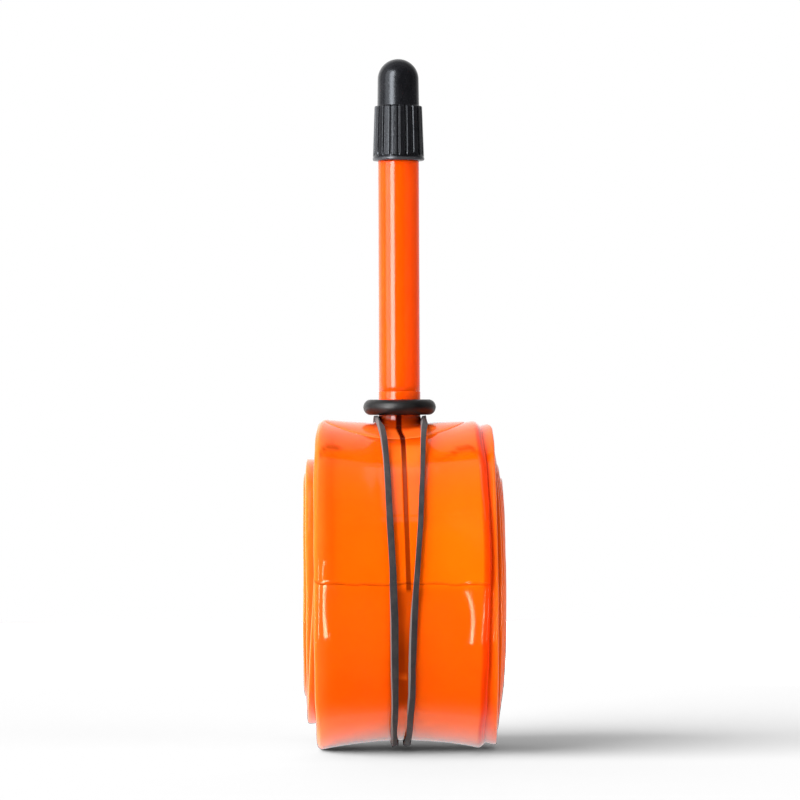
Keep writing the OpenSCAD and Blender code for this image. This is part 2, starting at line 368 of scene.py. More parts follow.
def film_material():
    """Glossy, slightly translucent orange film."""
    mat, nt, bsdf = new_material("orange_film", {"IOR": 1.46, "Subsurface Weight": 0.18, **ORANGE_GLOW})
    broad = noise(nt, 55, 2, stretch=(1, 1, 0.6))
    cloudy = noise(nt, 420, 4)
    tone = mottle(nt, broad, 0.3, 0.7, (0.97, 0.088, 0.0003), (0.98, 0.116, 0.0005))
    tone = mottle(nt, cloudy, 0.35, 0.75, tone, (0.95, 0.125, 0.003), 0.16)
    # Marks painted over the tone: painted light along edges, painted highlights and sheen, then the deep red
    # and dark painted shade, and painted shade in the crease
    tone = lay_marks(nt, tone, {"edge": (1.0, 0.25, 0.035), "deep": (0.93, 0.032, 0.0003),
                                "shade": (0.30, 0.030, 0.0006), "crease": (0.085, 0.005, 0.0008)})
    # the film reflects less under the painted shade and in the crease
    gloss = multiply(nt, remap(nt, attribute(nt, "shade"), 0.1, 0.8, 0.5, 0.02),
                     remap(nt, attribute(nt, "crease"), 0, 1, 1.0, 0.55))
    nt.links.new(gloss, bsdf.inputs["Specular IOR Level"])
    smear = noise(nt, 260, 5, 0.65, (1, 0.35, 0.35))
    paint(nt, bsdf, tone, remap(nt, smear, 0.3, 0.75, 0.045, 0.10))
    ripple = noise(nt, 130, 3, stretch=(1, 0.5, 0.5))
    first = add_bump(nt, bsdf, ripple, 0.00006, 0.5)
    grain = noise(nt, 2600, 3)
    add_bump(nt, bsdf, grain, 0.000004, 0.35, first)
    return mat


def stem_material():
    """Satin-gloss moulded plastic with faint rings from handling and specks in the moulding."""
    mat, nt, bsdf = new_material("orange_moulding", {"IOR": 1.48, "Subsurface Weight": 0.12, **ORANGE_GLOW})
    cloudy = noise(nt, 330, 4, stretch=(1, 1, 0.35))
    tone = mottle(nt, cloudy, 0.3, 0.7, (0.95, 0.066, 0.0004), (0.97, 0.085, 0.0006))
    rings = noise(nt, 1.0, 5, 0.8, (30, 30, 2600))
    scuff = remap(nt, rings, 0.62, 0.72, 0.0, 0.35)
    tone = mix_color(nt, scuff, tone, (0.62, 0.045, 0.002))
    # Marks painted over the moulding: painted shade, painted light and highlights, and painted shade in the
    # crease
    tone = lay_marks(nt, tone, {"shade": (0.26, 0.022, 0.0006), "edge": (1.0, 0.25, 0.04),
                                "crease": (0.05, 0.0026, 0.0004)})
    smear = noise(nt, 700, 5, 0.6, (1, 1, 0.3))
    paint(nt, bsdf, tone, remap(nt, smear, 0.3, 0.75, 0.09, 0.16))
    first = add_bump(nt, bsdf, scuff, 0.00002, 0.6)
    grain = noise(nt, 2200, 3, stretch=(1, 1, 0.5))
    add_bump(nt, bsdf, grain, 0.000006, 0.5, first)
    return mat


def cap_material():
    """Black moulded plastic with the fine grain of a spark-eroded mould, greyer on worn rib edges."""
    mat, nt, bsdf = new_material("black_moulding", {"IOR": 1.50, "Specular Tint": (0.86, 0.92, 1.0, 1)})
    cloudy = noise(nt, 600, 4)
    tone = mottle(nt, cloudy, 0.3, 0.75, (0.0045, 0.0046, 0.0058), (0.010, 0.010, 0.0115))
    tone = lay_marks(nt, tone, {"edge": (0.06, 0.06, 0.065)})
    speck = noise(nt, 3600, 4, 0.7, (1, 1, 0.8))
    paint(nt, bsdf, tone, remap(nt, speck, 0.3, 0.7, 0.16, 0.30))
    first = add_bump(nt, bsdf, speck, 0.00002, 0.45)
    add_bump(nt, bsdf, noise(nt, 450, 2), 0.00004, 0.3, first)
    return mat


def seal_material():
    """Satin black rubber of the O-ring and the core's seals."""
    mat, nt, bsdf = new_material("black_rubber", {"IOR": 1.50})
    cloudy = noise(nt, 500, 4)
    tone = mottle(nt, cloudy, 0.3, 0.75, (0.004, 0.004, 0.0048), (0.009, 0.0088, 0.0088))
    bloom = noise(nt, 1500, 5, 0.7, (1, 1, 2.5))
    tone = mottle(nt, bloom, 0.55, 0.8, tone, (0.035, 0.033, 0.032), 0.5)
    paint(nt, bsdf, tone, remap(nt, bloom, 0.3, 0.75, 0.33, 0.52))
    add_bump(nt, bsdf, bloom, 0.000012, 0.5)
    return mat


def band_material():
    """Matt grey rubber, dusted with talc, with a painted highlight on its side faces."""
    mat, nt, bsdf = new_material("grey_band_rubber", {"Sheen Weight": 0.12, "Sheen Roughness": 0.5})
    mottled = noise(nt, 900, 4, 0.6, (1, 1, 0.6))
    tone = mottle(nt, mottled, 0.3, 0.7, (0.019, 0.018, 0.020), (0.040, 0.036, 0.038))
    talc = noise(nt, 5200, 3, 0.75)
    tone = mottle(nt, talc, 0.56, 0.72, tone, (0.11, 0.10, 0.10), 0.5)
    # painted highlight on the side faces
    tone = lay_marks(nt, tone, {"edge": (0.16, 0.145, 0.14)})
    paint(nt, bsdf, tone, remap(nt, talc, 0.3, 0.7, 0.62, 0.9))
    add_bump(nt, bsdf, talc, 0.00003, 0.6)
    return mat


def metal_material():
    """Nickel plating over turned brass, with fine tool marks round the axis."""
    mat, nt, bsdf = new_material("nickel_plating", {"Metallic": 1.0})
    cloudy = noise(nt, 700, 4)
    tone = mottle(nt, cloudy, 0.35, 0.7, (0.62, 0.60, 0.55), (0.72, 0.70, 0.65))
    turned = noise(nt, 1.0, 3, 0.6, (40, 40, 9000))
    paint(nt, bsdf, tone, remap(nt, turned, 0.3, 0.7, 0.2, 0.36))
    add_bump(nt, bsdf, turned, 0.000008, 0.4)
    return mat


# ---------------- the outer turn's surface

def dip(x):
    """How far the outer turns lie below their edges at x."""
    return SADDLE * (1 - ((x - ROLL_SHIFT) / HALF_W) ** 2)


def outer_place(angle):
    """Winding centre and edge radius of the outer turn."""
    if angle <= 180 - FOLD_BACK:
        return FRONT_Y, FRONT_Z, ROLL_R
    return BACK_Y, BACK_Z, ROLL_R - HALF_PITCH


def strand_x(turn_no, angle):
    """x of a strand; up the back it crosses to where the other one starts."""
    strand, other = (LEFT_STRAND, RIGHT_STRAND) if turn_no == 0 else (RIGHT_STRAND, LEFT_STRAND)
    if angle <= 180:
        return linear(strand, angle)
    return strand[-1][1] + (other[0][1] - strand[-1][1]) * smooth((angle - 180) / 180)


def between_strands(angle, x):
    """1 between the two strands, 0 outside them."""
    gap = strand_x(1, angle) - strand_x(0, angle)
    middle = (strand_x(0, angle) + strand_x(1, angle)) / 2
    return smooth((gap / 2 - abs(x - middle)) / 0.4 + 0.5)


def crease_depth(angle, x):
    """1 in the middle of the crease, 0 beside it."""
    if angle < -12 or angle > LAP_TO + 2:
        return 0.0
    off = abs(x - linear(CREASE_X, angle))
    return smooth((0.46 - off) / 0.2)


def pinch(angle, x):
    """How much the film is drawn in between the two strands, below the lap."""
    middle = (strand_x(0, angle) + strand_x(1, angle)) / 2
    return span(angle, 86, 14, 163, 22) * bell((x - middle) / 0.95)


def swell(angle, x):
    """Slow waves of the film, in millimetres."""
    a = math.radians(angle)
    return (0.030 * math.sin(3 * a + 0.9 + 0.16 * x) + 0.022 * math.sin(7 * a - 0.22 * x + 2.1)
            + 0.014 * math.sin(11 * a + 0.41 * x) + 0.018 * math.sin(0.55 * x + 2.0 * math.sin(2 * a)))


def edge_lip(x, left, right):
    """1 along the folded edges of the flattened hose."""
    return bell((x - left - 0.42) / 0.36) + bell((right - x - 0.42) / 0.36)


def corner(angle, x, left, right):
    """How far the film's edges curve inwards."""
    turned = 0.25 + 0.75 * math.cos(math.radians(angle)) ** 2
    return turned * (0.5 * smooth((left + 0.9 - x) / 0.9) ** 2 + 0.8 * smooth((x - right + 1.3) / 1.3) ** 2)


def outer_radius(angle, x, left, right):
    """Radius of the outer turn's outside, with its crease, pinch, waves and edges."""
    radius = outer_place(angle)[2] - dip(x) + swell(angle, x)
    radius -= CREASE_DEPTH * crease_depth(angle, x) * smooth((LAP_TO + 2 - angle) / 6)
    radius -= PINCH_DEPTH * pinch(angle, x)
    radius += LIP_HEIGHT * edge_lip(x, left, right)
    radius -= corner(angle, x, left, right)
    radius -= STEP_DEPTH * span(angle, STEP_AT, 0.8, 165, 18)
    if 26 < angle < 330:
        for turn_no in (0, 1):
            radius -= DENT_DEPTH * bell((x - strand_x(turn_no, angle)) / 0.8)
    return radius


def painted_dark_arc(angle, x):
    """Painted dark arcs beside the foot, standing for a dark band in the film's reflection."""
    if x < 0:
        centre = linear(DARK_ARC_LEFT, x)
        strength = span(x, DARK_ARC_LEFT[0][0], 0.5, -7.8, 1.2)
    else:
        centre = linear(DARK_ARC_RIGHT, x)
        strength = span(x, 3.4, 2.5, DARK_ARC_RIGHT[-1][0], 0.5) * (0.45 + 0.55 * smooth((x - 6.5) / 1.5))
    away = angle - centre
    return 0.8 * strength * bell(away / (1.2 if away < 0 else 2.6))


def turned_under(angle, x, right):
    """1 where the outer turn's right edge bends down beside the next turn."""
    return smooth((x - right + 1.2) / 0.5) * span(angle, *TURNED_SPAN)


def film_marks(angle, x, left, right):
    """(crease, shade, edge) for the film's colours: painted shade in the crease, other painted shade, and
    painted light and highlights.
    """
    # painted shade in the crease, darker towards the valve
    crease = crease_depth(angle, x) * (0.80 + 0.2 * smooth((44 - angle) / 22))
    inside = between_strands(angle, x)
    # a painted highlight line across the film between the strands
    fold = bell((angle - PAINTED_GLINT_AT) / 0.9) * smooth((0.6 - abs(x - 0.4)) / 0.2)
    # painted shade between the strands, where they shade the film
    strand_gap_shade = inside * span(angle, LAP_TO, 3, 144, 10) * (0.62 + 0.28 * smooth((angle - 100) / 14))
    strand_gap_shade *= 1 - 0.8 * fold
    # painted shade under the foot between the strands
    under_foot_shade = 0.5 * inside * smooth((27 - angle) / 6)
    # darker below the lap, more so on the right half; painted shade in a band near the left edge
    below_lap_and_left_band = span(angle, LAP_TO, 2, 165, 50) * (0.14 + 0.2 * smooth((x + 2) / 6))
    below_lap_and_left_band += 0.36 * bell((x - left - 2.4) / 0.9) * span(angle, 12, 20, 100, 20)
    # painted shade where the right edge turns under
    turned_edge_shade = 0.22 * smooth((x - right + 1.25) / 0.45) * span(angle, *TURNED_SPAN)
    # painted light: lighter along the thin edges, as light shows through them
    edge = 0.42 * bell((x - left - 0.3) / 1.1) + 0.2 * bell((right - x) / 0.3)
    # painted light: lighter towards the bottom where the film reflects the floor, and the painted highlight
    # line
    edge += 0.33 * span(angle, 128, 24, 200, 20) + 0.5 * fold
    # painted sheen between the strands below the valve
    edge += (0.25 + 0.15 * smooth((x - 0.9) / 0.3)) * inside * span(angle, 26, 3, 48, 14)
    return crease, max(strand_gap_shade, below_lap_and_left_band, turned_edge_shade, under_foot_shade, painted_dark_arc(angle, x)), edge


def even_samples(left, right, inset, count):
    """x of the samples across a plain stretch, closer near its edges."""
    reach = right - left - 2 * inset
    return [left + inset + reach * (0.5 - 0.5 * math.cos(math.pi * k / (count - 1))) for k in range(count)]


# Samples beside the crease, how far from it the plain ones start, their number on each side, and their
# distance from the edges
CREASE_STEPS = (-0.6, -0.48, -0.41, -0.34, -0.26, 0.0, 0.26, 0.34, 0.41, 0.48, 0.6)
CREASE_SIDE = 0.8
SIDE_SAMPLES = 17
SIDE_INSET = 0.26


def outer_samples(angle, left, right):
    """x of the samples across the outside: fine at the crease, and closer near the edges."""
    middle = linear(CREASE_X, max(0, angle))
    first, last = left + SIDE_INSET, right - SIDE_INSET
    shares = [i / (SIDE_SAMPLES - 1) for i in range(SIDE_SAMPLES)]
    eased = [u * u * (1.6 - 0.6 * u) for u in shares]
    return ([first + (middle - CREASE_SIDE - first) * u for u in eased]
            + [middle + step for step in CREASE_STEPS]
            + [last - (last - middle - CREASE_SIDE) * u for u in reversed(eased)])


def hose_ring(xs, outside, thick, left, right, inner_samples=9, edge_thick=None, fill=0.0):
    """Section of the flattened hose as (x, radius): outside, rounded right edge, inside, rounded left edge.

    The inside swells by fill in its middle.
    """
    edge_thick = edge_thick or thick
    half = edge_thick / 2

    def rounded(x0, edge):
        turn = [math.radians(t) for t in (20, 42, 66, 90, 114, 138, 160)]
        return [(x0 + (edge - x0) * math.sin(t), outside(x0) - half + half * math.cos(t)) for t in turn]

    inside = []
    for i in range(inner_samples):
        u = i / (inner_samples - 1)
        off = abs(2 * u - 1)
        x = (xs[0] + xs[-1]) / 2 + (xs[-1] - xs[0]) / 2 * math.cos(math.pi * u)
        depth = thick + (edge_thick - thick) * smooth((off - 0.7) / 0.3) + fill * smooth((0.62 - off) / 0.3)
        inside.append((x, outside(x) - depth))
    return [(x, outside(x)) for x in xs] + rounded(xs[-1], right) + inside + rounded(xs[0], left)[::-1]


def rest_on_floor(z, depth):
    """Keeps a height at least this far above the floor that the roll rests on."""
    return max(z, depth)


def build_outer_turn(material):
    step = 1.5
    count = int(360 / step) + 1
    verts, marks = [], {}
    for i in range(count):
        angle = -FOLD_BACK + i * step
        y0, z0, _ = outer_place(angle)
        wobble = waves(angle, (0.05, 5, 30), (0.03, 13, 0))
        left = lookup(OUTER_LEFT, angle) + wobble
        right = lookup(OUTER_RIGHT, angle) + waves(angle, (0.05, 6, 0)) - abs(wobble)
        xs = outer_samples(angle, left, right)
        ring = hose_ring(xs, lambda x: outer_radius(angle, x, left, right), OUTER_T - 0.1, left, right)
        for k, (x, r) in enumerate(ring):
            seen = k < len(xs)
            y, z = polar(y0, z0, angle, r)
            verts.append((x, y, rest_on_floor(z, 0.0 if seen else 0.3)))
            # painted shade in the crease and elsewhere, painted light along the edges, and deep red painted
            # shade where the right edge turns under
            crease, shade, edge = film_marks(angle, x, left, right)
            note(marks, crease=crease if seen else 0.0, shade=shade if seen else 0.0, edge=min(1.0, edge),
                 deep=0.85 * turned_under(angle, x, right))
    return add_film("film_outer_turn", "hose_outer_turn", verts, count, material, marks)


def build_lap(material):
    """The lapped end of the film: a thin skin that ends in a sharp edge across the front."""
    steps = LAP_TO - LAP_FROM
    sunk = 0.03
    verts, marks = [], {}
    for i in range(steps + 1):
        share = i / steps
        outer_ring, inner_ring = [], []
        base_angle = LAP_FROM + steps * share
        left, right = lookup(OUTER_LEFT, base_angle) + 0.02, lookup(OUTER_RIGHT, base_angle) - 0.02
        xs = outer_samples(base_angle, left, right)
        xs = [left + 0.06] + xs[1:-1] + [right - 0.06]
        lift = -sunk + (LAP_T + sunk) * smooth(share / 0.4) - (0.04 if i == steps else 0.0)
        for x in xs:
            back_off = 1.5 * smooth((-10.9 - x) / 1.7)
            back_off += 0.2 * math.sin(0.5 * x) + 0.25 * math.sin(1.3 * x + 1)
            angle = base_angle - back_off * share
            y0, z0, _ = outer_place(angle)
            surface = outer_radius(angle, x, left - 0.02, right + 0.02)
            outer_ring.append((x, *polar(y0, z0, angle, surface + lift)))
            inner_ring.append((x, *polar(y0, z0, angle, surface - 0.12)))
            # painted shade as on the outer turn, with a painted shadow line along the lap's sharp edge
            crease, shade, edge = film_marks(min(angle, LAP_TO - 1), x, left, right)
            note(marks, crease=crease, shade=max(shade, 0.34 if i == steps else 0.0), edge=min(1.0, edge),
                 deep=0.85 * turned_under(angle, x, right))
        verts += outer_ring + list(reversed(inner_ring))
        for key in marks:
            marks[key] += [marks[key][-1]] * len(inner_ring)
    return add_film("film_lap_joint", "hose_lap_joint", verts, steps + 1, material, marks)


def build_second_turn(material):
    step = 2.5
    count = int(360 / step) + 1
    verts, marks = [], {}
    for i in range(count):
        angle = -FOLD_BACK + i * step
        y0, z0, radius = outer_place(angle)
        wobble = waves(angle, (0.05, 4, 80), (0.03, 9, 0))
        left = ROLL_SHIFT + SECOND_SLIP - HALF_W + 0.1 + wobble
        right = lookup(SECOND_RIGHT, angle) + wobble * 0.6
        cover = lookup(OUTER_RIGHT, angle)
        xs = even_samples(left, right, 0.24, 24)

        def outside(x):
            return (radius - HALF_PITCH - dip(min(x, 13.2)) + 0.3 * swell(angle, x)
                    + LIP_HEIGHT * edge_lip(x, left, right))
        for x, r in hose_ring(xs, outside, RUN_T - 0.05, left, right, 13, RUN_T + 0.16):
            y, z = polar(y0, z0, angle, r)
            verts.append((x, y, rest_on_floor(z, 0.55)))
            # painted shade, dark and deep red, beside the outer turn's edge that covers it; painted light
            # along its right edge
            note(marks, shade=0.3 * smooth((cover + 0.5 - x) / 0.5), edge=0.3 * bell((right - x) / 0.35),
                 deep=0.6 * smooth((cover + 0.6 - x) / 0.6))
    return add_film("film_second_turn", "hose_second_turn", verts, count, material, marks)


def spiral_radius(angle, inset):
    return ROLL_R + HALF_PITCH / 2 - HALF_PITCH * angle / 180 - SPIRAL_INSET - inset


def build_run(name, node, material, inset, centre_of, phase, tuck):
    """One of the two inner runs of the hose, wound to the middle of the roll.

    The phase sets its waves apart from the other run's. The left edge of its first turns is tucked in.
    """
    step = 4
    first, last = 360, 360 * TURNS
    count = (last - first) // step + 1
    thick = RUN_T - 0.06
    verts, marks = [], {}
    for i in range(count):
        angle = first + i * step
        depth = (angle - first) / (last - first)
        middle = centre_of(angle)
        middle += waves(angle, (0.05, 0.83, phase), (0.035, 3.3, 2 * phase), (0.02, 8.1, 3 * phase))
        left = middle - HALF_W + 0.06 + tuck * smooth((910 - angle) / 110)
        right = middle + HALF_W - 0.06
        rise = (SPIRAL_INSET - 0.02) * (1 - depth) ** 1.2
        flutter = waves(angle, (0.045, 2.27, phase), (0.03, 5.9, phase))

        def outside(x):
            u = max(-1.0, min(1.0, (x - ROLL_SHIFT) / HALF_W))
            side = smooth((abs(u) - 0.55) / 0.45)
            return (spiral_radius(angle, inset) + rise * u * u + flutter * side * (1 if x > 0 else -0.8)
                    + 0.05 * edge_lip(x, left, right))
        xs = even_samples(left, right, 0.22, 14)
        for x, r in hose_ring(xs, outside, thick, left, right, 11, RUN_T + 0.2, HALF_PITCH - RUN_GAP - thick):
            verts.append((x, *polar(MEAN_Y, MEAN_Z, angle - FOLD_BACK, r)))
            # painted shade beside the edges of the turns above; painted light along the run's edges
            note(marks, shade=0.4 * smooth((14.6 - x) / 0.8) if x > 0 else 0.1 * smooth((x + 13.4) / 0.8),
                 edge=min(1.0, 0.6 * bell(x - left) + 0.2 * bell((right - x) / 0.25)))
    return add_film(name, node, verts, count, material, marks)


def left_run_centre(angle):
    """x of the left run's middle: it slips out where it leaves the second turn, then drifts a little."""
    out = smooth((angle - 800) / 110)
    slipped = LEFT_SLIP * (0.78 * out + 0.22 * smooth((angle - 1250) / 300))
    back = 0.5 * smooth((angle - 1900) / 200) - 0.3 * smooth((angle - 2700) / 160)
    return ROLL_SHIFT - slipped + back + lookup(LEFT_RUN_BACK, (angle - FOLD_BACK) % 360) * out


def right_run_centre(angle):
    """x of the right run's middle, from the tables of its right edge."""
    radius = spiral_radius(angle, HALF_PITCH)
    sides = [linear(side, radius) for side in (RUN_EDGE_TOP, RUN_EDGE_FRONT, RUN_EDGE_BOTTOM, RUN_EDGE_BACK)]
    edge = lookup(list(zip((0, 90, 180, 270, 360), sides + sides[:1])), (angle - FOLD_BACK) % 360)
    uneven = (0.25 * smooth((angle - 2000) / 180) - 0.2 * smooth((angle - 2650) / 160)
              + 0.2 * smooth((angle - 3200) / 160))
    return edge + 0.06 - HALF_W - uneven


def build_fold(name, node, material, y0, z0, angle, sense, high, low, thickness, left, right, saddled):
    """The rounded end where the hose turns back on itself."""
    middle, half = (high + low - thickness) / 2, (high - low + thickness) / 2
    turned = [math.radians(90 - 15 * k) for k in range(13)]
    nose = [(half * math.cos(t), middle + half * math.sin(t)) for t in turned]
    verts, count = [], 26
    for i in range(count):
        x = left + (right - left) * i / (count - 1)
        lower = dip(x) if saddled else 0.0
        pull = 0.16 * math.sin(0.7 * x) + 0.1 * math.sin(1.9 * x + 1)
        shrink = 1.0 - 0.5 * bell((x - left) / 0.25) - 0.5 * bell((right - x) / 0.25)
        for reach, r in [(-0.9, middle - half), (-0.9, middle + half)] + nose:
            rr = middle + (r - middle) * shrink - lower
            forward = reach if reach < 0 else reach * shrink * (0.95 + 0.25 * pull)
            a = angle + sense * math.degrees(forward / middle)
            verts.append((x, *polar(y0, z0, a, rr)))
    marks = {"edge": [0.12] * len(verts)}
    return add_film(name, node, verts, count, material, marks)


# ---------------- the valve

def film_height(x, y):
    """Height of the outer turn's outside above a point near the valve."""
    radius = ROLL_R - dip(x)
    angle = math.degrees(math.asin((FRONT_Y - y) / radius))
    radius -= corner(angle, x, lookup(OUTER_LEFT, angle), lookup(OUTER_RIGHT, angle))
    return FRONT_Z + math.sqrt(radius ** 2 - (y - FRONT_Y) ** 2)


def build_foot(material):
    """The moulded foot: a thin saddle-shaped disc that rises in a fillet to the collar."""
    collar_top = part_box("valve_base")[1].z / MM
    film_top = film_height(0, 0)
    segments = 224
    bore, fillet = 2.4, 1.15
    groove_top = 49.5
    # share of the rim's radius, and height over the film
    rows = [(1.0, -0.10), (1.0, 0.0), (0.996, 0.05), (0.985, 0.09), (0.965, 0.13), (0.94, 0.17), (0.90, 0.22),
            (0.86, 0.255), (0.82, 0.29), (0.77, 0.325), (0.72, 0.36), (0.67, 0.395), (0.62, 0.43),
            (0.575, 0.465), (0.53, FOOT_T)]
    collar = [(COLLAR_R, 49.4), (COLLAR_R, 50.9), (COLLAR_R, collar_top - 0.14),
              (COLLAR_R - 0.02, collar_top - 0.06), (COLLAR_R - 0.08, collar_top), (bore, collar_top),
              (bore, film_top + 0.05)]
    verts, marks = [], {}
    for i in range(segments):
        phi = 2 * math.pi * i / segments
        # closer samples at the front, where the crease crosses the foot
        phi -= 0.21 * math.sin(2 * (phi + math.pi / 2))
        cx, cy = math.cos(phi), math.sin(phi)
        rim = 1 / math.sqrt((cx / FOOT_HALF_X) ** 2 + (cy / FOOT_HALF_Y) ** 2)
        column = []
        for share, height in rows:
            rho = rim * share
            x, y = rho * cx + FOOT_X * smooth((share - 0.5) / 0.5), rho * cy
            column.append((x, y, film_height(x, y) + height, rho))
        for t in range(0, 91, 18):
            rad = math.radians(t)
            rho = COLLAR_R + fillet * (1 - math.sin(rad))
            x, y = rho * cx, rho * cy
            column.append((x, y, film_height(x, y) + FOOT_T + fillet * (1 - math.cos(rad)), rho))
        column += [(rho * cx, rho * cy, z, rho) for rho, z in collar]
        for x, y, z, rho in column:
            groove = 0.0
            if y < 0 and z < groove_top and rho > bore + 0.1:
                angle = math.degrees(math.asin(min(1, (FRONT_Y - y) / (ROLL_R - dip(x)))))
                groove = smooth((0.50 - abs(x - linear(CREASE_X, angle))) / 0.2)
            verts.append((x, y, z - 0.05 * groove))
            # painted shade in the crease groove and below the O-ring by the collar; painted sheen on the
            # foot's outer part and a painted highlight along its rim
            rim_highlight = 0.42 * span(rho, rim - 0.4, 0.2, rim + 0.02, 0.04)
            note(marks, crease=groove, shade=0.75 * smooth((6.2 - rho) / 2.4) * smooth((49.3 - z) / 0.6),
                 edge=max(0.32 * smooth((rho - 4.6) / 1.6), rim_highlight))
    return add_mesh("valve_foot", verts, strip_faces(segments, len(verts) // segments, True), material,
                    "roll", ("valve_base",), marks)


def build_stem(material):
    """The smooth stem with its shoulder, threaded tip and bore."""
    low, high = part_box("valve_stem")
    bottom, tip_top = low.z / MM + 0.02, high.z / MM
    collar_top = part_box("valve_base")[1].z / MM
    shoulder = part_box("dust_cap")[0].z / MM - 0.03
    bore, seat_r, plug_r, crest_r, root_r = 1.25, 2.05, 2.38, 2.6, 2.3
    foot = collar_top + 0.06
    profile = [(bore, bottom), (plug_r, bottom), (plug_r, collar_top + 0.01),
               (STEM_R - 0.05, collar_top + 0.01), (STEM_R, foot)]
    rows = 44
    profile += [(STEM_R, foot + (shoulder - 0.2 - foot) * i / rows) for i in range(1, rows + 1)]
    profile += [(STEM_R - 0.02, shoulder - 0.04), (STEM_R - 0.06, shoulder), (2.52, shoulder),
                (2.42, shoulder + 0.1)]
    thread_low, thread_high = shoulder + 0.2, tip_top - 0.35
    thread_l, thread_rows = thread_high - thread_low, 64
    profile += [(crest_r, thread_low + thread_l * i / thread_rows) for i in range(thread_rows + 1)]
    profile += [(2.42, tip_top - 0.12), (2.32, tip_top), (seat_r, tip_top), (seat_r, tip_top - 3.0),
                (bore, tip_top - 3.2)]

    def reshape(r, z, phi):
        if r != crest_r:
            return r
        tooth = thread_tooth(z - thread_low, phi) * span(z, thread_low, 0.5, thread_high, 0.5)
        return root_r + (crest_r - root_r) * tooth

    verts, faces = lathe(profile, 96, reshape)
    # painted shade on the stem where it goes down into the collar
    low_shade = [0.3 * smooth((collar_top + 0.14 - z) / 0.12) for _, _, z in verts]
    return add_mesh("valve_stem_body", verts, faces, material, "roll", ("valve_stem",),
                    {"shade": low_shade})


def build_cap(material):
    """The dust cap: a ribbed skirt below a plain dome, hollow and threaded inside."""
    low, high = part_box("dust_cap")
    z0, height = low.z / MM, (high.z - low.z) / MM
    skirt_low, skirt_top, skirt_h = 3.78, 3.5, 7.98
    dome_low, dome_r = 3.06, 3.0
    ribs, per_rib = 20, 18
    groove = 0.30
    thread_r, thread_top = 2.64, 5.6

    profile = [(2.62, 0.0), (2.72, 0.0), (3.60, 0.0), (3.72, 0.05), (3.78, 0.16), (3.79, 0.3), (3.77, 0.44),
               (3.70, 0.54), (3.68, 0.60)]
    rows, rows_low = 26, 0.66
    for i in range(rows + 1):
        h = rows_low + (skirt_h - 0.2 - rows_low) * i / rows
        profile.append((skirt_low + (skirt_top - skirt_low) * h / skirt_h, h))
    profile += [(3.47, skirt_h - 0.09), (3.40, skirt_h - 0.01), (3.30, skirt_h), (3.16, skirt_h + 0.02),
                (dome_low + 0.02, skirt_h + 0.12)]
    straight = height - dome_r
    for i in range(10):
        h = skirt_h + 0.25 + (straight - skirt_h - 0.25) * i / 9
        profile.append((dome_low + (dome_r - dome_low) * (h - skirt_h) / (straight - skirt_h), h))
    for i in range(1, 16):
        t = math.radians(90 * i / 15)
        profile.append((max(0.02, dome_r * math.cos(t)), straight + dome_r * math.sin(t)))
    cavity_top = height - 1.4
    profile += [(0.02, cavity_top), (1.1, cavity_top - 0.1), (1.6, cavity_top - 1.2), (2.1, 11.9),
                (2.12, 10.2), (2.42, 9.8), (2.42, 6.1)]
    thread_rows = 40
    profile += [(thread_r, thread_top - (thread_top - 0.4) * i / thread_rows) for i in range(thread_rows + 1)]

    def rib_place(phi):
        """Place across a rib, from -0.5 to 0.5."""
        return (phi / (2 * math.pi) * ribs) % 1.0 - 0.5

    def reshape(r, h, phi):
        if r == thread_r:
            return 2.72 - 0.08 * span(h, 0.4, 0.6, thread_top, 0.5) * thread_tooth(h, phi)
        if r > 3.2 and 0.56 < h < skirt_h + 0.001:
            place = rib_place(phi)
            flat = math.cos(math.pi / ribs * 0.72) / math.cos(2 * math.pi / ribs * place)
            cut = smooth((abs(place) - 0.31) / 0.11) * smooth((h - 0.62) / 0.55)
            return r * (0.35 + 0.65 * flat) - groove * cut
        return r

    verts, faces = lathe(profile, ribs * per_rib, reshape)
    edge = []
    for x, y, h in verts:
        rho = math.hypot(x, y)
        rim = smooth((0.5 - h) / 0.16) * smooth((rho - 3.5) / 0.12)
        worn = bell((abs(rib_place(math.atan2(y, x))) - 0.29) / 0.05) * span(h, 1.0, 0.5, skirt_h, 0.2)
        edge.append(min(1.0, 0.75 * rim + (0.18 * worn if rho > 3.3 else 0.0)))
    verts = [(x, y, z0 + h) for x, y, h in verts]
    return add_mesh("cap_moulding", verts, faces, material, "cap", ("dust_cap",),
                    {"edge": edge})


def build_o_ring(material):
    """The rubber ring at the foot of the stem, with the flash line of its mould."""
    low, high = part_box("o_ring")
    z_mid = (low.z + high.z) / 2 / MM
    outer = high.x / MM - 0.05
    half_w, half_h = 1.05, 1.13
    centre = outer - half_w
    profile = []
    for k in range(40):
        t = 2 * math.pi * k / 40
        flash = 0.018 * bell(math.sin(t / 2) / 0.05)
        profile.append((centre + (half_w + flash) * math.cos(t), z_mid + half_h * math.sin(t)))
    verts, faces = lathe(profile, 144)
    return add_mesh("o_ring_moulding", verts, faces, material, "ring", ("o_ring",))


# ---------------- the rubber band

def band_radius(turn_no, angle, x):
    """Distance of the strand's middle from the winding centre, as in part.scad."""
    def on_film(a):
        inner = 180 - FOLD_BACK <= a <= 360 - FOLD_BACK
        radius = ROLL_R - HALF_PITCH if inner else ROLL_R
        return radius - dip(x) + BAND_GAP + BAND_T / 2

    end = 360 - FOLD_BACK
    lower = on_film(300)
    upper = on_film(0) + FOOT_T + HALF_PITCH
    chord = math.degrees(math.acos(lower / upper))
    if end - chord < angle <= end:
        return lower / math.cos(math.radians(angle - end + chord))
    foot = FOOT_T if angle > end else FOOT_T * (1 - smooth((angle - 26) / 12))
    lap = (LAP_T + 0.02) * span(angle, LAP_FROM - 4, 6, LAP_TO + 8, 6)
    cross = (BAND_T + 0.05) * span(angle, 188, 16, 270, 16) if turn_no == 0 else 0.0
    return on_film(angle) + foot + lap + cross


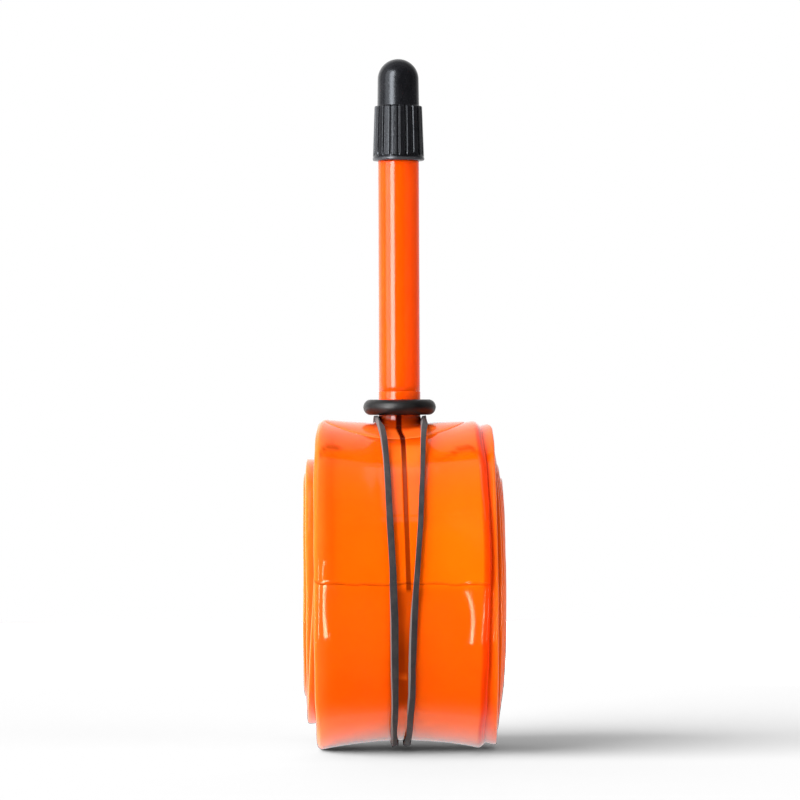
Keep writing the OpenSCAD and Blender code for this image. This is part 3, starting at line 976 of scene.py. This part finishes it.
def band_section():
    """Oblong with rounded corners, as (across, up)."""
    w, t, r = BAND_W / 2, BAND_T / 2, 0.10
    points = []
    for right, up, start in ((1, 1, 0), (-1, 1, 90), (-1, -1, 180), (1, -1, 270)):
        for k in range(4):
            a = math.radians(start + 30 * k)
            points.append((right * (w - r) + r * math.cos(a), up * (t - r) + r * math.sin(a)))
    return points


def build_band(material):
    """One closed loop, doubled round the roll: the left strand, up the back, and down the right strand."""
    stations = [(turn_no, a) for turn_no in (0, 1) for a in range(0, 360, 2)]
    section = band_section()
    verts, marks = [], {}
    for turn_no, angle in stations:
        twists, next_twists, stretch = ((LEFT_TWIST, RIGHT_TWIST, LEFT_STRETCH) if turn_no == 0
                                        else (RIGHT_TWIST, LEFT_TWIST, RIGHT_STRETCH))
        x = strand_x(turn_no, angle)
        inner = 180 - FOLD_BACK < angle <= 360 - FOLD_BACK
        y0, z0 = (BACK_Y, BACK_Z) if inner else (FRONT_Y, FRONT_Z)
        twist = lookup(twists, angle) if angle <= 180 else 0
        twist = math.radians(twist + next_twists[0][1] * smooth((angle - 336) / 24))
        uneven = 1 + waves(angle, (0.03, 3.1, 70 * turn_no), (0.02, 11, 0))
        width = uneven * lookup(stretch, angle)
        c, s = math.cos(twist), math.sin(twist)
        radius = band_radius(turn_no, angle, x) - (1 - BAND_THINNED) * BAND_T / 2 + 0.2 * abs(s)
        for across, up in section:
            u, v = across * width, up * BAND_THINNED
            y, z = polar(y0, z0, angle, radius + u * s + v * c)
            verts.append((x + u * c - v * s, y, rest_on_floor(z, 0.02)))
            # painted highlight on the band's side faces
            note(marks, edge=0.75 if abs(abs(across) - BAND_W / 2) < 0.012 else 0.0)
    return add_mesh("rubber_band_loop", verts, strip_faces(len(stations), len(section), True), material,
                    "roll", ("rubber_band",), marks)


# ---------------- the core's CAD nodes

def refine_node(node, material, width):
    """Keeps a CAD node and gives it softened edges and a detailed material."""
    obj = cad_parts[node]
    if not obj.material_slots:
        obj.data.materials.append(material)
    for slot in obj.material_slots:
        slot.material = material
    weld = obj.modifiers.new("weld", "WELD")
    weld.merge_threshold = 0.002 * MM
    bevel = obj.modifiers.new("bevel", "BEVEL")
    bevel.width = width * MM
    bevel.segments = 2
    bevel.limit_method = "ANGLE"
    bevel.angle_limit = math.radians(35)
    return obj


# ---------------- studio

def add_area(name, azimuth, elevation, distance, width, height, radiance, target, glossy=True, diffuse=True,
             lean=0.0):
    """A soft light at an azimuth from the front (positive to the right) and an elevation."""
    data = bpy.data.lights.new(name, "AREA")
    data.shape = "RECTANGLE"
    data.size, data.size_y = width, height
    data.energy = radiance * math.pi * width * height
    obj = bpy.data.objects.new(name, data)
    a, e = math.radians(azimuth), math.radians(elevation)
    away = Vector((math.sin(a) * math.cos(e), -math.cos(a) * math.cos(e), math.sin(e)))
    obj.location = target + away * distance
    obj.rotation_mode = "QUATERNION"
    obj.rotation_quaternion = away.to_track_quat("Z", "Y") @ Quaternion((0, 0, 1), math.radians(lean))
    obj.visible_camera = False
    obj.visible_glossy = glossy
    obj.visible_diffuse = diffuse
    bpy.context.scene.collection.objects.link(obj)
    return obj


def build_world():
    """Plain white for the camera; white surroundings behind and beside the object, dim in front of it."""
    world = bpy.data.worlds.new("studio")
    bpy.context.scene.world = world
    world.use_nodes = True
    nt = world.node_tree
    nt.nodes.clear()
    out = add_node(nt, "OutputWorld")
    parts = add_node(nt, "SeparateXYZ")
    nt.links.new(add_node(nt, "TexCoord").outputs["Generated"], parts.inputs[0])
    # brightness by direction, from straight ahead of the object (0) to straight behind it (1)
    above = [(0.0, 0.003), (0.265, 0.06), (0.41, 0.12), (0.5, 0.20), (0.60, 0.36), (0.63, 0.30), (0.65, 0.02),
             (0.665, 0.05), (0.70, 0.26), (0.762, 0.44), (0.82, 0.58), (0.893, 0.68), (1.0, 0.95)]
    below = [(0.0, 0.003), (0.50, 0.015), (0.53, 0.04), (0.66, 0.45), (0.765, 0.80), (0.86, 1.0),
             (0.94, 0.85), (1.0, 0.55)]
    ramps = []
    for stops in (below, above):
        ramp = add_node(nt, "ValToRGB")
        nt.links.new(remap(nt, parts.outputs["Y"], -1, 1, 0, 1), ramp.inputs[0])
        while len(ramp.color_ramp.elements) < len(stops):
            ramp.color_ramp.elements.new(0.5)
        for element, (place, level) in zip(ramp.color_ramp.elements, stops):
            element.position = place
            element.color = (level, level, level, 1)
        ramps.append(ramp.outputs[0])
    level = mix_color(nt, remap(nt, parts.outputs["Z"], -0.05, 0.05, 0, 1), ramps[0], ramps[1])
    surround = add_node(nt, "Background")
    nt.links.new(remap(nt, parts.outputs["X"], -0.9, 0.9, 2.0, 0.5), surround.inputs["Strength"])
    nt.links.new(level, surround.inputs[0])
    backdrop = add_node(nt, "Background", {"Color": (1.0, 1.0, 1.0, 1)})
    mix = add_node(nt, "MixShader")
    nt.links.new(add_node(nt, "LightPath").outputs["Is Camera Ray"], mix.inputs[0])
    nt.links.new(surround.outputs[0], mix.inputs[1])
    nt.links.new(backdrop.outputs[0], mix.inputs[2])
    nt.links.new(mix.outputs[0], out.inputs[0])


def build_floor():
    """A plain pale floor that only shows the object's soft shadow."""
    reach = 0.4
    corners = [(-reach, -reach, 0), (reach, -reach, 0), (reach, reach, 0), (-reach, reach, 0)]
    mesh = bpy.data.meshes.new("floor")
    mesh.from_pydata(corners, [], [(0, 1, 2, 3)])
    mat, nt, bsdf = new_material("pale_floor", {"Base Color": (0.86, 0.86, 0.86, 1), "Roughness": 0.8})
    far = add_node(nt, "VectorMath")
    far.operation = "LENGTH"
    nt.links.new(object_coords(nt), far.inputs[0])
    clear = add_node(nt, "BsdfTransparent")
    fade = add_node(nt, "MixShader")
    nt.links.new(remap(nt, far.outputs["Value"], 0.16, 0.34, 0, 1), fade.inputs[0])
    nt.links.new(bsdf.outputs[0], fade.inputs[1])
    nt.links.new(clear.outputs[0], fade.inputs[2])
    out = [node for node in nt.nodes if node.type == "OUTPUT_MATERIAL"][0]
    nt.links.new(fade.outputs[0], out.inputs[0])
    mesh.materials.append(mat)
    floor = bpy.data.objects.new("floor", mesh)
    floor.location.z = -0.0001
    bpy.context.scene.collection.objects.link(floor)
    floor.is_shadow_catcher = True
    floor.visible_glossy = False


def build_camera():
    """A long lens straight in front, leaning by a quarter degree; across is the width in view."""
    scene = bpy.context.scene
    data = bpy.data.cameras.new("camera")
    data.sensor_width = 36
    distance, across = 0.70, 0.11707
    data.lens = data.sensor_width * distance / across
    data.clip_start, data.clip_end = 0.05, 10
    camera = bpy.data.objects.new("camera", data)
    height = (CAD_BOX[0].z + CAD_BOX[1].z) / 2 + 0.0005
    camera.location = (0.00007, -distance, height)
    camera.rotation_mode = "QUATERNION"
    level = Matrix.Rotation(math.radians(90), 4, "X")
    lean = Matrix.Rotation(math.radians(-0.25), 4, "Z")
    camera.rotation_quaternion = (level @ lean).to_quaternion()
    scene.collection.objects.link(camera)
    scene.camera = camera
    scene.view_settings.view_transform = "Standard"


def link_lights(name, lights, pieces):
    """Lets the lights fall on these pieces only."""
    lit = bpy.data.collections.new(name)
    for piece in pieces:
        lit.objects.link(piece)
    for light in lights:
        light.light_linking.receiver_collection = lit


def build_lights(film_pieces, valve_pieces, metal_pieces):
    middle, valve_middle = Vector((0, 0, 0.045)), Vector((0, 0, 0.07))
    add_area("key_left", -56, 26, 0.62, 0.70, 0.75, 7.0, middle, glossy=False)
    add_area("fill_right", 56, 10, 0.65, 0.60, 0.70, 1.7, middle, glossy=False)
    add_area("top", 0, 88, 0.70, 0.7, 0.35, 1.2, middle, glossy=False)
    # narrow, slightly yellow reflections on the film
    left_glint, right_glint = Vector((-0.0115, -0.024, 0.024)), Vector((0.0101, -0.024, 0.020))
    film_lights = [
        add_area("strip_right_low", 21.4, -17, 0.50, 0.019, 0.34, 22.0, left_glint, diffuse=False, lean=5.0),
        add_area("strip_right_high", 21.6, 9, 0.50, 0.008, 0.15, 16.0, left_glint, diffuse=False, lean=-4.0),
        add_area("strip_left", -19.1, -21, 0.50, 0.0055, 0.32, 50.0, right_glint, diffuse=False, lean=-5.0),
    ]
    for light in film_lights:
        light.data.color = (1.0, 0.94, 0.66)
    sheen = add_area("strip_top", 0, 75, 0.50, 0.10, 0.40, 0.8, Vector((0, -0.016, 0.040)), diffuse=False)
    # tall soft reflections on the round parts of the valve and of its core
    valve_lights = [
        add_area("softbox_near", -36, 14, 0.60, 0.25, 0.75, 11.0, valve_middle, diffuse=False),
        add_area("softbox_far", -64, 14, 0.60, 0.28, 0.75, 2.0, valve_middle, diffuse=False),
    ]
    core_light = add_area("softbox_core", -26, 14, 0.60, 0.50, 0.75, 1.1, valve_middle, diffuse=False)
    link_lights("film_pieces", film_lights, film_pieces)
    link_lights("film_and_foot", [sheen], film_pieces + valve_pieces[:1])
    link_lights("valve_pieces", valve_lights, valve_pieces)
    link_lights("metal_pieces", [core_light], metal_pieces)


# ---------------- the scene

def build_roll():
    """The hose; its pieces but the hidden core fold are returned, for the lights that fall on the film."""
    film = film_material()
    pieces = [
        build_outer_turn(film),
        build_lap(film),
        build_second_turn(film),
        build_run("film_left_run", "hose_left_run", film, 0.0, left_run_centre, 20, 0.75),
        build_run("film_right_run", "hose_right_run", film, HALF_PITCH, right_run_centre, 140, 0.0),
        build_fold("film_outer_fold", "hose_outer_fold", film, FRONT_Y, FRONT_Z, -FOLD_BACK, -1, ROLL_R,
                   ROLL_R - HALF_PITCH, RUN_T, -12.3, 12.7, True),
    ]
    end = 360 * TURNS
    build_fold("film_core_fold", "hose_core_fold", film, MEAN_Y, MEAN_Z, end - FOLD_BACK, 1,
               spiral_radius(end, 0), spiral_radius(end, HALF_PITCH), RUN_T, -10.9, 12.4, False)
    return pieces


def build_valve():
    """The valve's outside, then the core's metal pieces, for the lights that fall on each."""
    moulding = stem_material()
    seal = seal_material()
    pieces = [build_foot(moulding), build_stem(moulding), build_cap(cap_material()), build_o_ring(seal)]
    metal = metal_material()
    metal_pieces = [refine_node(node, metal, width) for node, width in
                    (("core_body", 0.08), ("core_pin", 0.08), ("lock_nut", 0.05))]
    for node in ("core_gasket", "pin_seal"):
        refine_node(node, seal, 0.08)
    return pieces, metal_pieces


build_camera()
build_world()
build_floor()
film_pieces = build_roll()
valve_pieces, metal_pieces = build_valve()
build_band(band_material())
build_lights(film_pieces, valve_pieces, metal_pieces)
